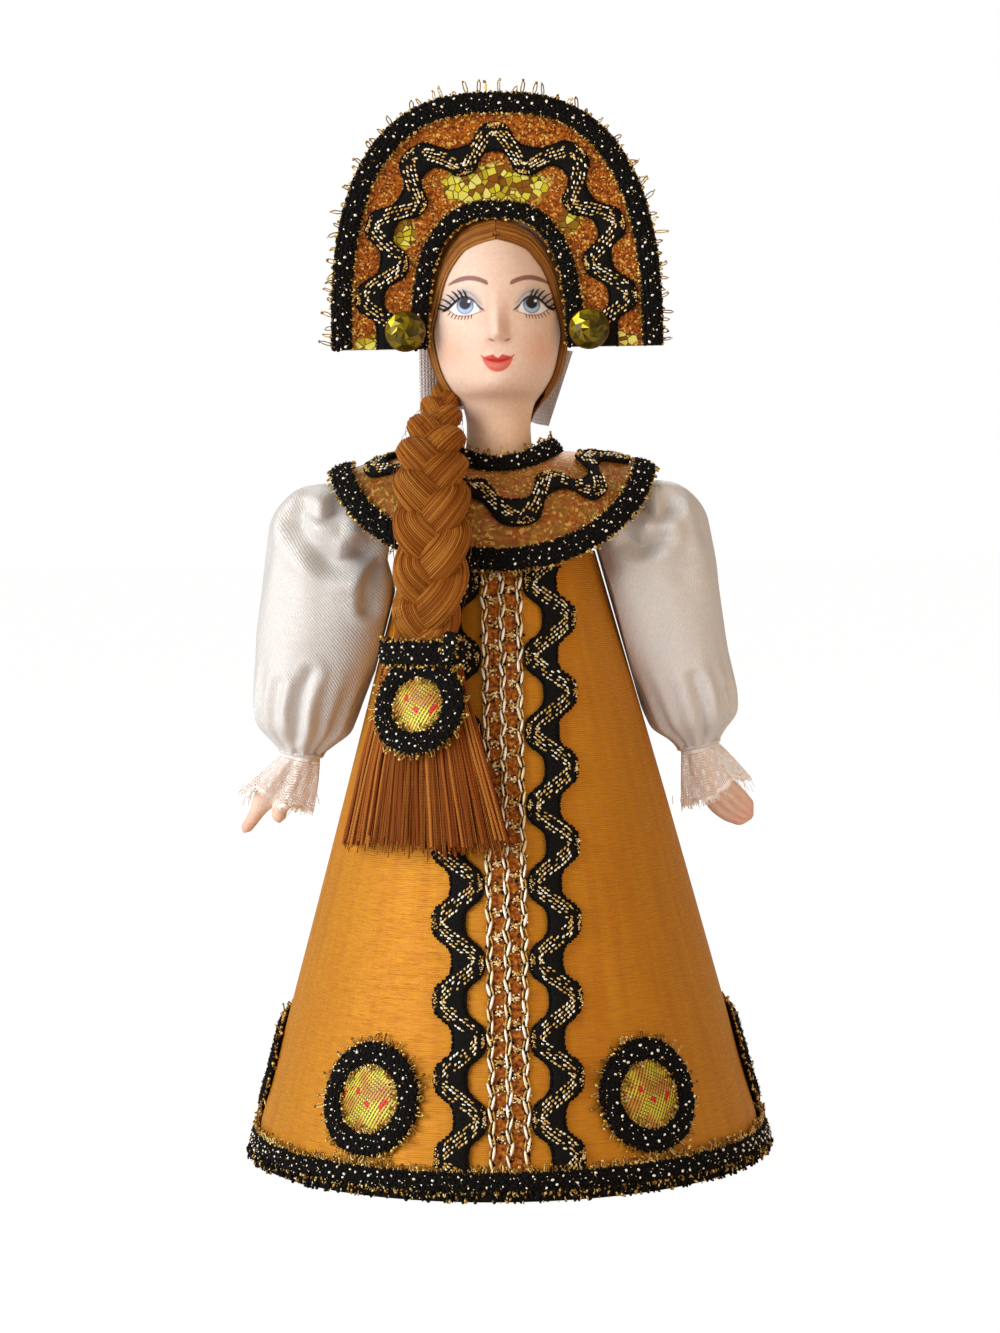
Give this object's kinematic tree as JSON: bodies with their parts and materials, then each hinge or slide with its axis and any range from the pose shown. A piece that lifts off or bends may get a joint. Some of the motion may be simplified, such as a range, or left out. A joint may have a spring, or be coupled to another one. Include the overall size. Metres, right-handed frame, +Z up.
{
  "type": "costume doll",
  "caption": "Standing souvenir doll with porcelain head and hands, arched headdress, wide collar, puffed sleeves on wire arms, long plait with tassel and cone dress with braid trims.",
  "frame": {"origin": "centre of the base, at the height of the table", "axes": "+Z up along the doll's height, -Y the way the doll faces, +X towards the doll's left hand"},
  "size_m": [0.1004, 0.1004, 0.2],
  "materials": {
    "card": "matt grey-brown board",
    "satin": "golden orange ribbed satin",
    "black_braid": "black braid with white and gold stitches and wire picots",
    "ric_rac": "black ric-rac with pale gold thread",
    "gold_lace": "cream and gold chain lace on dark red",
    "brocade": "glittering orange-gold lame",
    "patch": "gold brocade with red and green flecks",
    "porcelain": "matt bisque with painted face",
    "hair": "chestnut silky thread",
    "white_satin": "white satin",
    "wadding": "white polyester wadding",
    "white_lace": "white net lace",
    "white_tape": "white woven tape",
    "rhinestone": "faceted clear yellow, foiled back",
    "wire": "plain soft wire"
  },
  "bodies": {
    "dressed_body": {"base_disc": "card", "card_cone": "card", "skirt": "satin", "hem_trim": "black_braid", "ric_rac_right": "ric_rac", "ric_rac_left": "ric_rac", "front_lace_trim": "gold_lace", "medallion_ring_1": "black_braid", "medallion_patch_1": "patch", "medallion_ring_2": "black_braid", "medallion_patch_2": "patch", "medallion_ring_3": "black_braid", "medallion_patch_3": "patch", "medallion_ring_4": "black_braid", "medallion_patch_4": "patch", "medallion_ring_5": "black_braid", "medallion_patch_5": "patch", "medallion_ring_6": "black_braid", "medallion_patch_6": "patch", "bust": "porcelain", "wig": "hair", "head_tape": "white_tape", "kokoshnik_board": "card", "kokoshnik_brocade": "brocade", "kokoshnik_outer_trim": "black_braid", "kokoshnik_inner_trim": "black_braid", "kokoshnik_ric_rac": "ric_rac", "rhinestone_right": "rhinestone", "rhinestone_left": "rhinestone", "collar": "brocade", "collar_outer_trim": "black_braid", "collar_neck_trim": "black_braid", "collar_ric_rac": "ric_rac", "shoulder_wire": "wire", "braid_upper": "hair"},
    "shoulder_left": {"wire_bend_left": "wire"},
    "arm_left": {"sleeve_left": "white_satin", "sleeve_wadding_left": "wadding", "cuff_left": "white_lace", "hand_left": "porcelain", "arm_wire_left": "wire"},
    "shoulder_right": {"wire_bend_right": "wire"},
    "arm_right": {"sleeve_right": "white_satin", "sleeve_wadding_right": "wadding", "cuff_right": "white_lace", "hand_right": "porcelain", "arm_wire_right": "wire"},
    "hanging_plait": {"braid": "hair", "braid_tie": "black_braid", "tassel": "hair", "braid_medallion_ring": "black_braid", "braid_medallion_patch": "patch"}
  },
  "joints": [
    {"name": "arm_left_swing", "type": "hinge", "parent": "dressed_body", "child": "shoulder_left", "pos_m": [0.0286, 0, 0.1163], "axis": [-1, 0, 0], "range_deg": [-20, 30]},
    {"name": "arm_left_lift", "type": "hinge", "parent": "shoulder_left", "child": "arm_left", "pos_m": [0.0286, 0, 0.1163], "axis": [0, -1, 0], "range_deg": [0, 45]},
    {"name": "arm_right_swing", "type": "hinge", "parent": "dressed_body", "child": "shoulder_right", "pos_m": [-0.0328, 0, 0.1163], "axis": [-1, 0, 0], "range_deg": [-20, 30]},
    {"name": "arm_right_lift", "type": "hinge", "parent": "shoulder_right", "child": "arm_right", "pos_m": [-0.0328, 0, 0.1163], "axis": [0, 1, 0], "range_deg": [0, 45]},
    {"name": "plait_lift", "type": "hinge", "parent": "dressed_body", "child": "hanging_plait", "pos_m": [-0.014, -0.004, 0.1385], "axis": [-1, 0, 0], "range_deg": [0, 45]}
  ]
}
